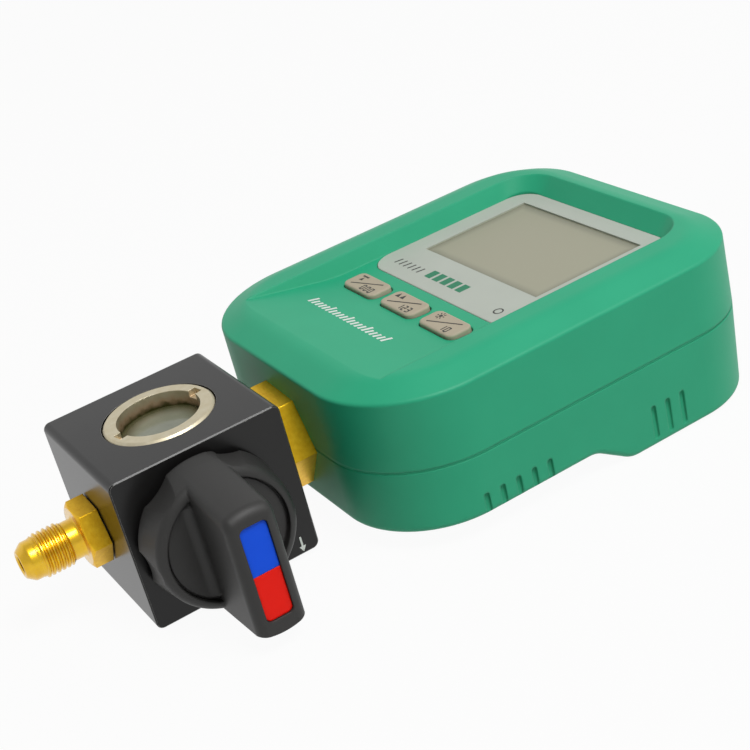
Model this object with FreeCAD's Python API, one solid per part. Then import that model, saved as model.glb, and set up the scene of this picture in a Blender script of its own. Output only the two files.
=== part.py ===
# Refrigerant manifold gauge: a valve block with a sight glass, a quarter-turn
# knob and flare ports, coupled by a brass hex to a moulded display housing.
# Millimetres, +Z up. The origin is the centre of the valve block's underside;
# +X runs from the block to the display housing and the knob faces -Y.
import FreeCAD, Part
import math
import os

os.makedirs("parts", exist_ok=True)
Vector = FreeCAD.Vector

# Valve block
block_length = 44.0
block_depth = 42.7
block_height = 40.0
block_edge_radius = 1.8
block_face_chamfer = 0.3
flow_height = 20.0
block_left = -block_length / 2
block_right = block_length / 2
block_front = -block_depth / 2
block_back = block_depth / 2

# Clearances
fit_gap = 0.1
running_gap = 0.05
panel_gap = 0.3

# Flare ports
flare_radius = 5.556
flare_thread_length = 7.6
flare_nose_radius = 4.9
flare_nose_length = 4.2
flare_tip_radius = 3.2
flare_neck_radius = 4.88
flare_neck_length = 3.2
flare_bore_radius = 2.3
port_hex_width = 15.0
port_hex_length = 5.4
port_hex_turn = 5.0
port_stub_radius = 6.2
outlet_stub_length = 11.6
port_seal_radius = 7.3
port_seal_thickness = 0.6
side_port_offset = 8.0
passage_radius = 2.0

# Ball valve
ball_offset = -2.2
ball_radius = 5.8
ball_bore_radius = 2.2
ball_slot_width = 3.0
ball_slot_depth = 2.0
seat_reach = 8.2
seat_inner_reach = 3.8
seat_gap = 0.1
stem_radius = 4.0
stem_tail_radius = 3.0
stem_flange_radius = 5.4
stem_flange_thickness = 1.4
gland_radius = 7.5
gland_depth = 6.0
gland_head_radius = 8.4
gland_head_height = 2.2
stem_seal_section = 1.2
stem_seal_pitch = 2.6

# Stop pin and the slot that it runs in
stop_pin_radius = 1.2
stop_pin_distance = 12.4
stop_pin_angle = 225.0
stop_pin_reach = 2.8
stop_pin_sink = 5.0
travel = 90.0

# Knob
knob_gap = 1.65
knob_back_radius = 18.45
knob_front_radius = 17.3
knob_skirt_depth = 9.3
knob_rim_radius = 2.2
knob_dish_radius = 15.15
knob_dish_depth = 1.0
knob_groove_width = 0.5
knob_groove_depth = 0.6
knob_flute_count = 6
knob_flute_first = 5.0
knob_flute_radius = 14.0
knob_flute_depth = 1.2
bar_half_width = 6.1
bar_height = 27.7
bar_back_radius = 18.3
bar_front_radius = 15.9
bar_end_rounding = 3.2
bar_side_rounding = 2.4
bar_foot_radius = 2.4
insert_half_width = 3.35
insert_half_length = 12.25
insert_centre = 0.15
insert_thickness = 2.0
insert_recess = 0.5
insert_corner = 1.4
insert_split = -0.02
knob_screw_radius = 1.5
knob_screw_head_radius = 2.7
knob_screw_head_height = 2.2
knob_screw_bite = 7.5
knob_screw_room = 0.5
stem_socket_depth = 15.0

# Sight glass
glass_centre_x = 0.4
ring_radius = 13.75
ring_hole_radius = 10.3
ring_proud = 0.3
ring_depth = 4.0
ring_chamfer = 0.6
ring_slot_width = 3.0
ring_slot_reach = 12.2
ring_slot_depth = 1.6
ring_slot_turn = 11.8
lens_radius = 12.5
lens_thickness = 4.0
glass_seal_section = 1.2
glass_pocket_radius = 9.8
glass_pocket_depth = 1.5

# Coupling between the block and the housing
coupling_gap = 8.8
coupling_hex_width = 24.0
coupling_hex_turn = 4.0
coupling_stub_radius = 6.8
coupling_stub_length = 8.0
coupling_neck_radius = 8.0
coupling_neck_length = 8.0
coupling_bore_radius = 1.6
locknut_width = 20.0
locknut_thickness = 4.0
sensor_radius = 9.0
sensor_length = 16.0
sensor_cap_radius = 6.5
sensor_cap_length = 4.0
wire_count = 3
wire_pitch = 2.5
wire_radius = 0.6
wire_run = 2.0
wire_bend = 5.0

# Display housing
housing_left = block_right + coupling_gap
housing_right = 144.4
housing_half_width = 49.0
near_corner_radius = 27.0
far_corner_radius = 22.0
parting_height = flow_height
rim_edge_height = 38.6
rim_top_height = 41.6
rim_slope_width = 7.5
rim_edge_rounding = 0.9
rim_top_rounding = 9.0
wall = 2.4
parting_groove = 0.3
case_floor_height = 3.3
case_deep_height = -3.3
deep_start = 97.0
deep_ramp = 10.0
deep_ramp_rounding = 7.0
case_draft = 1.0
case_edge_rounding = 1.6
case_tail_rounding = 8.0

# Display recess in the cover
recess_floor_height = 37.0
recess_right = 135.4
recess_half_width = 34.8
recess_corner_radius = 11.0
recess_far_slope = 3.6
recess_side_slope = 2.1
ramp_start = 40.5
ramp_end = 68.0
ramp_rounding = 60.0

# Bezel, display and circuit board
bezel_left = 78.1
bezel_right = 131.5
bezel_half_width = 32.4
bezel_corner_radius = 7.0
bezel_thickness = 1.7
bezel_proud = 0.15
view_left = 92.6
view_right = 125.8
view_half_width = 25.5
view_ledge = 2.2
window_thickness = 1.0
lcd_thickness = 1.6
backlight_thickness = 2.0
board_left = 62.0
board_right = 140.0
board_half_width = 35.0
board_near_radius = 3.0
board_far_radius = 22.0
board_thickness = 1.6
board_screw_radius = 1.2
board_screw_head_radius = 2.4
board_screw_head_height = 1.4
board_screw_bite = 3.0
board_post_radius = 3.2

# Keys
key_centre_x = 70.0
key_pitch = 18.8
key_count = 3
key_size_x = 7.2
key_size_y = 15.0
key_corner_radius = 2.0
key_top_height = 38.4
key_top_rounding = 0.6
key_clearance = 0.35
key_flange = 1.2
key_flange_thickness = 1.2
key_travel = 0.6
mat_thickness = 0.8
dome_radius = 3.0
dome_gap = 0.15

# Batteries and their compartment
battery_count = 3
battery_radius = 5.25
battery_length = 44.5
battery_pitch = 10.8
battery_first_x = 108.0
battery_nub_radius = 1.9
battery_nub_length = 0.8
bay_wall = 1.6
bay_side_margin = 0.5
bay_end_margin = 1.4
contact_thickness = 0.4
contact_size = 9.0
contact_spring_radius = 3.2
contact_spring_tip_radius = 1.6
door_thickness = 1.8
door_lip = 1.2
door_grip_count = 5
door_grip_pitch = 3.0
door_grip_width = 1.0
door_grip_length = 12.0
door_grip_depth = 0.5

# Case screws and vents
case_screw_points = ((54.0, 36.0), (54.0, -36.0), (131.0, 37.0), (131.0, -37.0))
case_screw_radius = 1.5
case_screw_head_radius = 3.0
case_screw_head_height = 2.4
case_screw_bite = 8.0
boss_radius = 4.8
screw_access_radius = 3.4
tall_vent_x = (105.0, 109.5, 114.0)
tall_vent_bottom = -1.2
tall_vent_top = 8.2
short_vent_first_x = 55.0
short_vent_pitch = 4.6
short_vent_count = 5
short_vent_bottom = 2.0
short_vent_top = 9.2
vent_width = 1.5
vent_depth = 1.3


def box(x0, x1, y0, y1, z0, z1):
    return Part.makeBox(x1 - x0, y1 - y0, z1 - z0, Vector(x0, y0, z0))


def rod(radius, start, end):
    """A round bar from one point to another."""
    along = Vector(*end) - Vector(*start)
    return Part.makeCylinder(radius, along.Length, Vector(*start), along)


def taper(start_radius, end_radius, start, end):
    """A cone frustum from one point to another."""
    along = Vector(*end) - Vector(*start)
    return Part.makeCone(start_radius, end_radius, along.Length, Vector(*start), along)


def tube(outer, inner, start, end):
    return rod(outer, start, end).cut(rod(inner, start, end))


def hexagon(width, turn, x0, x1, centre_y=0.0, centre_z=0.0):
    """A hexagonal bar along X, width across flats, one corner turned up from +Y."""
    reach = width / math.sqrt(3)
    corners = []
    for step in range(7):
        angle = math.radians(turn + 60 * step)
        y = centre_y + reach * math.cos(angle)
        z = centre_z + reach * math.sin(angle)
        corners.append(Vector(x0, y, z))
    return Part.Face(Part.makePolygon(corners)).extrude(Vector(x1 - x0, 0, 0))


def chamfered_hexagon(width, turn, x0, x1, front=True, back=True):
    """A hexagonal bar whose end corners are turned off at 30 degrees."""
    reach = width / math.sqrt(3)
    drop = (reach - width / 2) * math.tan(math.radians(30))
    bar = hexagon(width, turn, x0, x1)
    points = [(x0, 0)]
    points += [(x0, width / 2), (x0 + drop, reach)] if front else [(x0, reach)]
    points += [(x1 - drop, reach), (x1, width / 2)] if back else [(x1, reach)]
    points += [(x1, 0)]
    return bar.common(turned(points))


def turned(points):
    """A solid turned about the X axis from its (x, radius) outline."""
    outline = [Vector(x, 0, radius) for x, radius in points]
    outline.append(outline[0])
    face = Part.Face(Part.makePolygon(outline))
    return face.revolve(Vector(0, 0, 0), Vector(1, 0, 0), 360)


def outline(x0, x1, half_width, near_radius, far_radius, z):
    """A rectangle with rounded corners, symmetric about the XZ plane."""
    half = math.sqrt(0.5)
    corners = (
        (x1 - far_radius, -half_width + far_radius, far_radius, 1, -1),
        (x1 - far_radius, half_width - far_radius, far_radius, 1, 1),
        (x0 + near_radius, half_width - near_radius, near_radius, -1, 1),
        (x0 + near_radius, -half_width + near_radius, near_radius, -1, -1),
    )
    arcs = []
    for centre_x, centre_y, radius, side_x, side_y in corners:
        flank = Vector(centre_x, centre_y + side_y * radius, z)
        end = Vector(centre_x + side_x * radius, centre_y, z)
        middle = Vector(centre_x + side_x * half * radius, centre_y + side_y * half * radius, z)
        first, last = (flank, end) if side_x * side_y < 0 else (end, flank)
        arcs.append(Part.Arc(first, middle, last).toShape())
    edges = []
    for arc, following in zip(arcs, arcs[1:] + arcs[:1]):
        edges.append(arc)
        edges.append(Part.makeLine(arc.lastVertex().Point, following.firstVertex().Point))
    return Part.Wire(edges)


def plate(x0, x1, half_width, near_radius, far_radius, z0, z1):
    face = Part.Face(outline(x0, x1, half_width, near_radius, far_radius, z0))
    return face.extrude(Vector(0, 0, z1 - z0))


def loft(lower, upper):
    return Part.makeLoft([lower, upper], True, True)


def side_profile(points, half_width):
    """A closed (x, z) outline drawn across the full width."""
    corners = [Vector(x, -half_width, z) for x, z in points]
    corners.append(corners[0])
    return Part.Face(Part.makePolygon(corners)).extrude(Vector(0, 2 * half_width, 0))


def edges_where(shape, test):
    return [edge for edge in shape.Edges if test(edge)]


def save(name, shape):
    solids = shape.Solids
    whole = solids[0] if len(solids) == 1 else Part.makeCompound(solids)
    whole.exportStep("parts/" + name + ".step")
    print(f"{name}: {len(solids)} solid(s), {whole.Volume:.0f} mm3")


# Valve block and its drillings
stem_axis = (ball_offset, flow_height)
cavity_radius = port_stub_radius + fit_gap
cavity_end = ball_offset + seat_reach
inlet_stub_length = ball_offset - seat_reach - block_left
coupling_bore_end = block_right - coupling_stub_length
side_bore_end = block_back - outlet_stub_length
lens_top = block_height + ring_proud - ring_depth
lens_bottom = lens_top - lens_thickness
glass_ledge = lens_bottom - glass_seal_section
glass_pocket_floor = glass_ledge - glass_pocket_depth
gland_floor = block_front + gland_depth


def make_valve_block():
    block = box(block_left, block_right, block_front, block_back, 0, block_height)
    long_edges = edges_where(block, lambda e: abs(e.Length - block_depth) < 0.01)
    block = block.makeFillet(block_edge_radius, long_edges)
    ends = edges_where(block, lambda e: abs(abs(e.CenterOfMass.y) - block_depth / 2) < 0.01)
    block = block.makeChamfer(block_face_chamfer, ends)
    z = flow_height
    cuts = [
        rod(cavity_radius, (block_left - 1, 0, z), (cavity_end, 0, z)),
        rod(flare_bore_radius, (cavity_end - 1, 0, z), (coupling_bore_end + 1, 0, z)),
        rod(coupling_stub_radius + fit_gap, (coupling_bore_end, 0, z), (block_right + 1, 0, z)),
        rod(passage_radius, (side_port_offset, 0, z), (side_port_offset, side_bore_end + 1, z)),
        rod(port_stub_radius + fit_gap, (side_port_offset, side_bore_end, z),
            (side_port_offset, block_back + 1, z)),
        rod(passage_radius, (side_port_offset, 0, z), (side_port_offset, 0, glass_ledge)),
        rod(glass_pocket_radius, (glass_centre_x, 0, glass_pocket_floor),
            (glass_centre_x, 0, glass_ledge + 1)),
        rod(lens_radius + fit_gap, (glass_centre_x, 0, glass_ledge), (glass_centre_x, 0, lens_top)),
        rod(ring_radius + panel_gap, (glass_centre_x, 0, lens_top),
            (glass_centre_x, 0, block_height + 1)),
        rod(stem_radius + running_gap, (ball_offset, block_front, z), (ball_offset, 0, z)),
        rod(gland_radius + fit_gap, (ball_offset, block_front - 1, z), (ball_offset, gland_floor, z)),
        rod(stem_flange_radius + fit_gap, (ball_offset, gland_floor - 1, z),
            (ball_offset, gland_floor + stem_flange_thickness + fit_gap, z)),
        stop_pin_bar(stop_pin_radius, block_front - 1, block_front + stop_pin_sink),
    ]
    for cut in cuts:
        block = block.cut(cut)
    return block


def stop_pin_bar(radius, y0, y1, turn=0.0):
    """The stop pin's cylinder, also turned about the stem for its slot."""
    angle = math.radians(stop_pin_angle - turn)
    x = ball_offset + stop_pin_distance * math.cos(angle)
    z = flow_height + stop_pin_distance * math.sin(angle)
    return rod(radius, (x, y0, z), (x, y1, z))


# Flare ports, drawn about the X axis and pointing to -X
hex_front = -port_hex_length
neck_front = hex_front - flare_neck_length
thread_front = neck_front - flare_thread_length
tip_front = thread_front - flare_nose_length
tip_cone = flare_nose_radius - flare_tip_radius


def make_flare_port(stub_length):
    body = turned([
        (tip_front, 0),
        (tip_front, flare_tip_radius),
        (tip_front + tip_cone, flare_nose_radius),
        (thread_front, flare_nose_radius),
        (thread_front, flare_radius),
        (neck_front, flare_radius),
        (neck_front, flare_neck_radius),
        (hex_front + 1, flare_neck_radius),
        (hex_front + 1, 0),
    ])
    nut = chamfered_hexagon(port_hex_width, port_hex_turn, hex_front, -port_seal_thickness, back=False)
    body = body.fuse(nut).fuse(rod(port_stub_radius, (-1, 0, 0), (stub_length, 0, 0)))
    return body.cut(rod(flare_bore_radius, (tip_front - 1, 0, 0), (stub_length + 1, 0, 0)))


def make_port_seal():
    return tube(port_seal_radius, port_stub_radius + fit_gap, (-port_seal_thickness, 0, 0), (0, 0, 0))


def place_inlet(shape):
    placed = shape.copy()
    placed.translate(Vector(block_left, 0, flow_height))
    return placed


def place_outlet(shape):
    placed = shape.copy()
    placed.rotate(Vector(0, 0, 0), Vector(0, 0, 1), -90)
    placed.translate(Vector(side_port_offset, block_back, flow_height))
    return placed


# Ball, its seats and the stem
def make_ball():
    centre = Vector(ball_offset, 0, flow_height)
    ball = Part.makeSphere(ball_radius, centre)
    bore = rod(ball_bore_radius, (ball_offset, 0, flow_height - ball_radius),
               (ball_offset, 0, flow_height + ball_radius))
    half = ball_slot_width / 2
    slot = box(ball_offset - half, ball_offset + half, -ball_radius - 1,
               -ball_radius + ball_slot_depth, flow_height - ball_radius, flow_height + ball_radius)
    return ball.cut(bore).cut(slot)


def make_seat(side):
    """A washer on one side of the ball, hollowed to the ball's curve."""
    x_far = ball_offset + side * seat_reach
    x_near = ball_offset + side * seat_inner_reach
    seat = tube(cavity_radius - fit_gap, flare_bore_radius,
                (x_near, 0, flow_height), (x_far, 0, flow_height))
    return seat.cut(Part.makeSphere(ball_radius + seat_gap, Vector(ball_offset, 0, flow_height)))


stem_inner = -ball_radius - 0.4
stem_seal_start = gland_floor + stem_flange_thickness + 1.2
knob_back = block_front - knob_gap
knob_rim = knob_back - knob_skirt_depth
knob_dish = knob_rim + knob_dish_depth
knob_pocket = knob_back - gland_head_height + knob_gap - 0.8
bar_face = knob_back - bar_height
insert_face = bar_face + insert_recess
insert_floor = insert_face + insert_thickness
stem_tip = knob_back - stem_socket_depth
screw_seat = insert_floor + fit_gap + knob_screw_head_height


def make_stem():
    x, z = stem_axis
    body = rod(stem_radius, (x, stem_inner, z), (x, knob_pocket, z))
    tail = rod(stem_tail_radius, (x, knob_pocket, z), (x, stem_tip, z))
    flat = stem_tail_radius * 0.75
    depth = 2 * stem_tail_radius
    tail = tail.common(box(x - flat, x + flat, stem_tip, knob_pocket, z - depth, z + depth))
    flange = rod(stem_flange_radius, (x, gland_floor, z),
                 (x, gland_floor + stem_flange_thickness, z))
    half = ball_slot_width / 2 - running_gap
    tang = box(x - half, x + half, stem_inner - 0.5, -ball_radius + ball_slot_depth - running_gap,
               z - 2.6, z + 2.6)
    stem = body.fuse(tail).fuse(tang).fuse(flange)
    for index in range(2):
        y = stem_seal_start + index * stem_seal_pitch
        groove = tube(stem_radius + 1, stem_radius - stem_seal_section,
                      (x, y, z), (x, y + 1.4, z))
        stem = stem.cut(groove)
    hole = rod(knob_screw_radius + running_gap, (x, stem_tip - 1, z),
               (x, stem_tip + knob_screw_bite + knob_screw_room, z))
    return stem.cut(hole)


def make_stem_seals():
    x, z = stem_axis
    seals = []
    for index in range(2):
        y = stem_seal_start + index * stem_seal_pitch
        seals.append(tube(stem_radius, stem_radius - stem_seal_section + 0.05,
                          (x, y + 0.1, z), (x, y + 1.3, z)))
    return Part.makeCompound(seals)


def make_gland():
    """The threaded nut that keeps the stem in the block."""
    x, z = stem_axis
    body = rod(gland_radius, (x, gland_floor, z), (x, block_front, z))
    head = hexagon(2 * gland_head_radius * math.cos(math.radians(30)), 0, 0, gland_head_height)
    head.rotate(Vector(0, 0, 0), Vector(0, 0, 1), -90)
    head.translate(Vector(x, block_front, z))
    bore = rod(stem_radius + running_gap, (x, block_front - gland_head_height - 1, z),
               (x, gland_floor + 1, z))
    return body.fuse(head).cut(bore)


# Knob
def make_bar_foot():
    """The hollow curves that lead from the dish floor up the bar's two sides."""
    x, z = stem_axis
    low = knob_dish + knob_groove_depth / 2
    high = knob_dish - bar_foot_radius
    reach = bar_half_width + bar_foot_radius
    foot = box(x - reach, x + reach, high, low, z - knob_dish_radius, z + knob_dish_radius)
    for side in (-1, 1):
        centre = x + side * reach
        foot = foot.cut(rod(bar_foot_radius, (centre, high, z - knob_back_radius),
                            (centre, high, z + knob_back_radius)))
    wide = knob_dish_radius - knob_groove_width
    within = taper(wide, wide - bar_foot_radius, (x, low, z), (x, high, z))
    return foot.common(within)


def make_knob():
    x, z = stem_axis
    skirt = taper(knob_back_radius, knob_front_radius, (x, knob_back, z), (x, knob_rim, z))
    rim = edges_where(skirt, lambda e: abs(e.CenterOfMass.y - knob_rim) < 0.01)
    skirt = skirt.makeFillet(knob_rim_radius, rim[:1])
    for index in range(knob_flute_count):
        angle = math.radians(knob_flute_first + 360 / knob_flute_count * index)
        distance = knob_back_radius - knob_flute_depth + knob_flute_radius
        fx = x + distance * math.cos(angle)
        fz = z + distance * math.sin(angle)
        skirt = skirt.cut(rod(knob_flute_radius, (fx, knob_back + 1, fz), (fx, knob_rim - 1, fz)))
    dish = rod(knob_dish_radius, (x, knob_rim - 1, z), (x, knob_dish, z))
    groove = tube(knob_dish_radius, knob_dish_radius - knob_groove_width,
                  (x, knob_dish - 0.1, z), (x, knob_dish + knob_groove_depth, z))
    skirt = skirt.cut(dish).cut(groove)
    bar = taper(bar_back_radius, bar_front_radius, (x, knob_back, z), (x, bar_face, z))
    bar = bar.common(box(x - bar_half_width, x + bar_half_width, bar_face, knob_back,
                         z - knob_back_radius, z + knob_back_radius))
    ends = edges_where(bar, lambda e: abs(e.CenterOfMass.y - bar_face) < 0.01
                       and abs(e.CenterOfMass.x - x) < 1)
    bar = bar.makeFillet(bar_end_rounding, ends)
    sides = edges_where(bar, lambda e: e.BoundBox.XLength < 0.01 and e.CenterOfMass.y < bar_face + 6)
    bar = bar.makeFillet(bar_side_rounding, sides)
    knob = skirt.fuse(make_bar_foot()).fuse(bar).removeSplitter()
    knob = knob.cut(rod(gland_head_radius + 1.2, (x, knob_back + 1, z), (x, knob_pocket, z)))
    tail_room = stem_tail_radius + fit_gap
    flat = stem_tail_radius * 0.75 + fit_gap
    socket = rod(tail_room, (x, knob_back, z), (x, stem_tip - fit_gap, z))
    depth = 2 * tail_room
    knob = knob.cut(socket.common(box(x - flat, x + flat, stem_tip - 1, knob_back,
                                      z - depth, z + depth)))
    knob = knob.cut(rod(knob_screw_radius + fit_gap, (x, stem_tip, z), (x, bar_face - 1, z)))
    knob = knob.cut(rod(knob_screw_head_radius + fit_gap, (x, screw_seat, z), (x, bar_face - 1, z)))
    knob = knob.cut(insert_blank(fit_gap, bar_face - 1, insert_floor, -1, 1))
    return knob.cut(make_stop_slot())


def insert_blank(gap, y0, y1, lower, upper):
    """A rounded bar-shaped plug; lower and upper are shares of its half length."""
    x = ball_offset
    z = flow_height + insert_centre
    half = insert_half_width + gap
    reach = insert_half_length + gap
    blank = box(x - half, x + half, y0, y1, z - reach, z + reach)
    corners = edges_where(blank, lambda e: abs(e.BoundBox.YLength - (y1 - y0)) < 0.01)
    blank = blank.makeFillet(insert_corner, corners)
    return blank.common(box(x - half, x + half, y0, y1, z + lower * reach, z + upper * reach))


def make_stop_slot():
    """A curved slot in the knob's back, as long as the valve's quarter turn."""
    x, z = stem_axis
    end = knob_back - (stop_pin_reach - knob_gap) - panel_gap
    half = stop_pin_radius + panel_gap
    slot = tube(stop_pin_distance + half, stop_pin_distance - half,
                (x, knob_back + 1, z), (x, end, z))
    reach = 3 * knob_back_radius
    first = math.radians(stop_pin_angle - travel)
    last = math.radians(stop_pin_angle)
    fan = [Vector(x, knob_back + 1, z)]
    for angle in (first, (first + last) / 2, last):
        fan.append(Vector(x + reach * math.cos(angle), knob_back + 1, z + reach * math.sin(angle)))
    fan.append(fan[0])
    wedge = Part.Face(Part.makePolygon(fan)).extrude(Vector(0, end - knob_back - 1, 0))
    slot = slot.common(wedge)
    for turn in (0.0, travel):
        slot = slot.fuse(stop_pin_bar(half, knob_back + 1, end, turn))
    return slot


def make_knob_screw():
    x, z = stem_axis
    shank = rod(knob_screw_radius, (x, screw_seat, z), (x, stem_tip + knob_screw_bite, z))
    head = rod(knob_screw_head_radius, (x, insert_floor + fit_gap, z), (x, screw_seat, z))
    return shank.fuse(head)


# Sight glass
def make_ring():
    z_top = block_height + ring_proud
    ring = tube(ring_radius, ring_hole_radius, (glass_centre_x, 0, lens_top), (glass_centre_x, 0, z_top))
    top = edges_where(ring, lambda e: abs(e.CenterOfMass.z - z_top) < 0.01
                      and abs(e.Length - 2 * math.pi * ring_radius) < 0.5)
    ring = ring.makeChamfer(ring_chamfer, top)
    half = ring_slot_width / 2
    for side in (-1, 1):
        inner = side * (ring_hole_radius - 1)
        outer = side * ring_slot_reach
        slot = box(min(inner, outer), max(inner, outer), -half, half, z_top - ring_slot_depth, z_top + 1)
        slot.rotate(Vector(0, 0, 0), Vector(0, 0, 1), ring_slot_turn)
        slot.translate(Vector(glass_centre_x, 0, 0))
        ring = ring.cut(slot)
    return ring


def make_lens():
    return rod(lens_radius, (glass_centre_x, 0, lens_bottom), (glass_centre_x, 0, lens_top))


def make_glass_seal():
    inner = glass_pocket_radius + 0.4
    return tube(lens_radius, inner, (glass_centre_x, 0, glass_ledge), (glass_centre_x, 0, lens_bottom))


# Coupling, locknut and pressure sensor
def make_coupling():
    z = flow_height
    left = block_right - coupling_stub_length + fit_gap
    right = housing_left + coupling_neck_length
    body = hexagon(coupling_hex_width, coupling_hex_turn, block_right, housing_left, 0, z)
    body = body.fuse(rod(coupling_stub_radius, (left, 0, z), (block_right + 1, 0, z)))
    body = body.fuse(rod(coupling_neck_radius, (housing_left - 1, 0, z), (right, 0, z)))
    return body.cut(rod(coupling_bore_radius, (left - 1, 0, z), (right + 1, 0, z)))


def make_locknut():
    start = housing_left + wall
    nut = hexagon(locknut_width, 0, start, start + locknut_thickness, 0, flow_height)
    return nut.cut(rod(coupling_neck_radius + fit_gap, (start - 1, 0, flow_height),
                       (start + locknut_thickness + 1, 0, flow_height)))


def make_sensor():
    start = housing_left + coupling_neck_length
    can = rod(sensor_radius, (start, 0, flow_height), (start + sensor_length, 0, flow_height))
    rims = edges_where(can, lambda e: abs(e.Length - 2 * math.pi * sensor_radius) < 0.1)
    can = can.makeChamfer(1.0, rims)
    end = start + sensor_length
    cap = rod(sensor_cap_radius, (end, 0, flow_height), (end + sensor_cap_length, 0, flow_height))
    return can.fuse(cap)


def make_sensor_wires():
    """Three leads that turn up from the sensor to the circuit board."""
    start = housing_left + coupling_neck_length + sensor_length + sensor_cap_length
    centre_x = start + wire_run
    leads = []
    for index in range(wire_count):
        y = wire_pitch * (index - (wire_count - 1) / 2)
        lead = rod(wire_radius, (start, y, flow_height), (centre_x, y, flow_height))
        bend = Part.makeTorus(wire_bend, wire_radius, Vector(centre_x, y, flow_height + wire_bend),
                              Vector(0, 1, 0))
        quarter = box(centre_x, centre_x + 2 * wire_bend, y - 1, y + 1, flow_height - 1,
                      flow_height + wire_bend)
        rise = rod(wire_radius, (centre_x + wire_bend, y, flow_height + wire_bend),
                   (centre_x + wire_bend, y, board_bottom))
        leads.append(lead.fuse(bend.common(quarter)).fuse(rise))
    return Part.makeCompound(leads)


# Display housing
recess_floor_right = recess_right - recess_far_slope
ceiling = recess_floor_height - wall


def crown(inset):
    """The cover's outer form, or its hollow when inset is the wall."""
    x0 = housing_left + inset
    x1 = housing_right - inset
    half = housing_half_width - inset
    near = near_corner_radius - inset
    far = far_corner_radius - inset
    edge = rim_edge_height - inset * 0.8
    slope = rim_slope_width
    top = edge + rim_top_height - rim_edge_height
    body = plate(x0, x1, half, near, far, parting_height, edge)
    cap = loft(
        outline(x0, x1, half, near, far, edge),
        outline(x0 + slope, x1 - slope, half - slope, near - slope, far - slope, top),
    )
    crease = edges_where(cap, lambda e: abs(e.CenterOfMass.z - top) < 0.01)
    cap = cap.makeFillet(rim_top_rounding, crease)
    form = body.fuse(cap).removeSplitter()
    if inset == 0:
        lip = edges_where(form, lambda e: abs(e.CenterOfMass.z - edge) < 0.01)
        form = form.makeFillet(rim_edge_rounding, lip)
    return form


def recess(grow):
    """The dished display recess, or its lowered twin when grow is the wall."""
    floor = recess_floor_height - grow
    rise = rim_top_height - recess_floor_height + 1.0
    spread = rise / (rim_top_height - recess_floor_height)
    side = recess_side_slope * spread
    end = recess_far_slope * spread
    low_half = recess_half_width - recess_side_slope + grow
    low_right = recess_floor_right + grow
    low_radius = recess_corner_radius - recess_side_slope + grow
    start = ramp_start - recess_corner_radius - grow
    basin = loft(
        outline(start, low_right, low_half, low_radius, low_radius, floor),
        outline(start - side, low_right + end, low_half + side, low_radius + side,
                low_radius + side, floor + rise + grow),
    )
    slope = (rim_top_height - recess_floor_height) / (ramp_end - ramp_start)
    turn = ramp_rounding * math.tan(math.atan(slope) / 2)
    top = floor + rise + grow + 1
    run = (top - floor) / slope
    incline = math.atan(slope)
    first = Vector(ramp_end - turn * math.cos(incline), 0, floor + turn * math.sin(incline))
    last = Vector(ramp_end + turn, 0, floor)
    centre_z = floor + ramp_rounding
    middle_angle = incline / 2
    middle = Vector(last.x - ramp_rounding * math.sin(middle_angle), 0,
                    centre_z - ramp_rounding * math.cos(middle_angle))
    high = Vector(ramp_end - run, 0, top)
    beyond = 2 * housing_right - recess_right
    corner = Vector(beyond, 0, top)
    low = Vector(beyond, 0, floor)
    ramp = Part.Wire([
        Part.makeLine(high, first),
        Part.Arc(first, middle, last).toShape(),
        Part.makeLine(last, low),
        Part.makeLine(low, corner),
        Part.makeLine(corner, high),
    ])
    ramp = Part.Face(ramp).extrude(Vector(0, 2 * housing_half_width, 0))
    ramp.translate(Vector(0, -housing_half_width, 0))
    return basin.common(ramp)


def key_positions():
    return [key_pitch * (index - (key_count - 1) / 2) for index in range(key_count)]


def key_blank(y, grow, z0, z1):
    half_x = key_size_x / 2 + grow
    half_y = key_size_y / 2 + grow
    radius = key_corner_radius + grow
    blank = plate(key_centre_x - half_x, key_centre_x + half_x, half_y, radius, radius, z0, z1)
    blank.translate(Vector(0, y, 0))
    return blank


bezel_top = recess_floor_height + bezel_proud
bezel_bottom = bezel_top - bezel_thickness
window_bottom = bezel_bottom - window_thickness
lcd_bottom = window_bottom - lcd_thickness
backlight_bottom = lcd_bottom - backlight_thickness
board_top = backlight_bottom
board_bottom = board_top - board_thickness
board_points = ((64.5, 31.5), (64.5, -31.5), (133.5, 23.0), (133.5, -23.0))


def make_top_cover():
    form = crown(0).cut(recess(0))
    cover = form.cut(crown(wall).cut(recess(wall)))
    for x, y in board_points:
        post = rod(board_post_radius, (x, y, board_top), (x, y, rim_top_height))
        pilot = rod(board_screw_radius + running_gap, (x, y, board_top - 1), (x, y, ceiling - 0.4))
        cover = cover.fuse(post.common(form)).cut(pilot)
    for x, y in case_screw_points:
        column = rod(boss_radius, (x, y, parting_height), (x, y, rim_top_height))
        pilot = rod(case_screw_radius + running_gap, (x, y, parting_height - 1),
                    (x, y, parting_height + case_screw_bite + 1))
        cover = cover.fuse(column.common(form)).cut(pilot)
    bezel_bed = plate(bezel_left - fit_gap, bezel_right + fit_gap, bezel_half_width + fit_gap,
                      bezel_corner_radius, bezel_corner_radius, bezel_bottom, rim_top_height)
    cover = cover.cut(bezel_bed)
    opening = box(view_left - view_ledge, view_right + view_ledge, -view_half_width - view_ledge,
                  view_half_width + view_ledge, board_top, rim_top_height)
    cover = cover.cut(opening)
    for y in key_positions():
        cover = cover.cut(key_blank(y, key_clearance, ceiling - 1, rim_top_height))
    cover = cover.cut(rod(coupling_neck_radius + panel_gap, (housing_left - 1, 0, flow_height),
                          (housing_left + wall + 1, 0, flow_height)))
    cover = cover.cut(parting_ring(parting_height, parting_height + parting_groove))
    return cover


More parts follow.
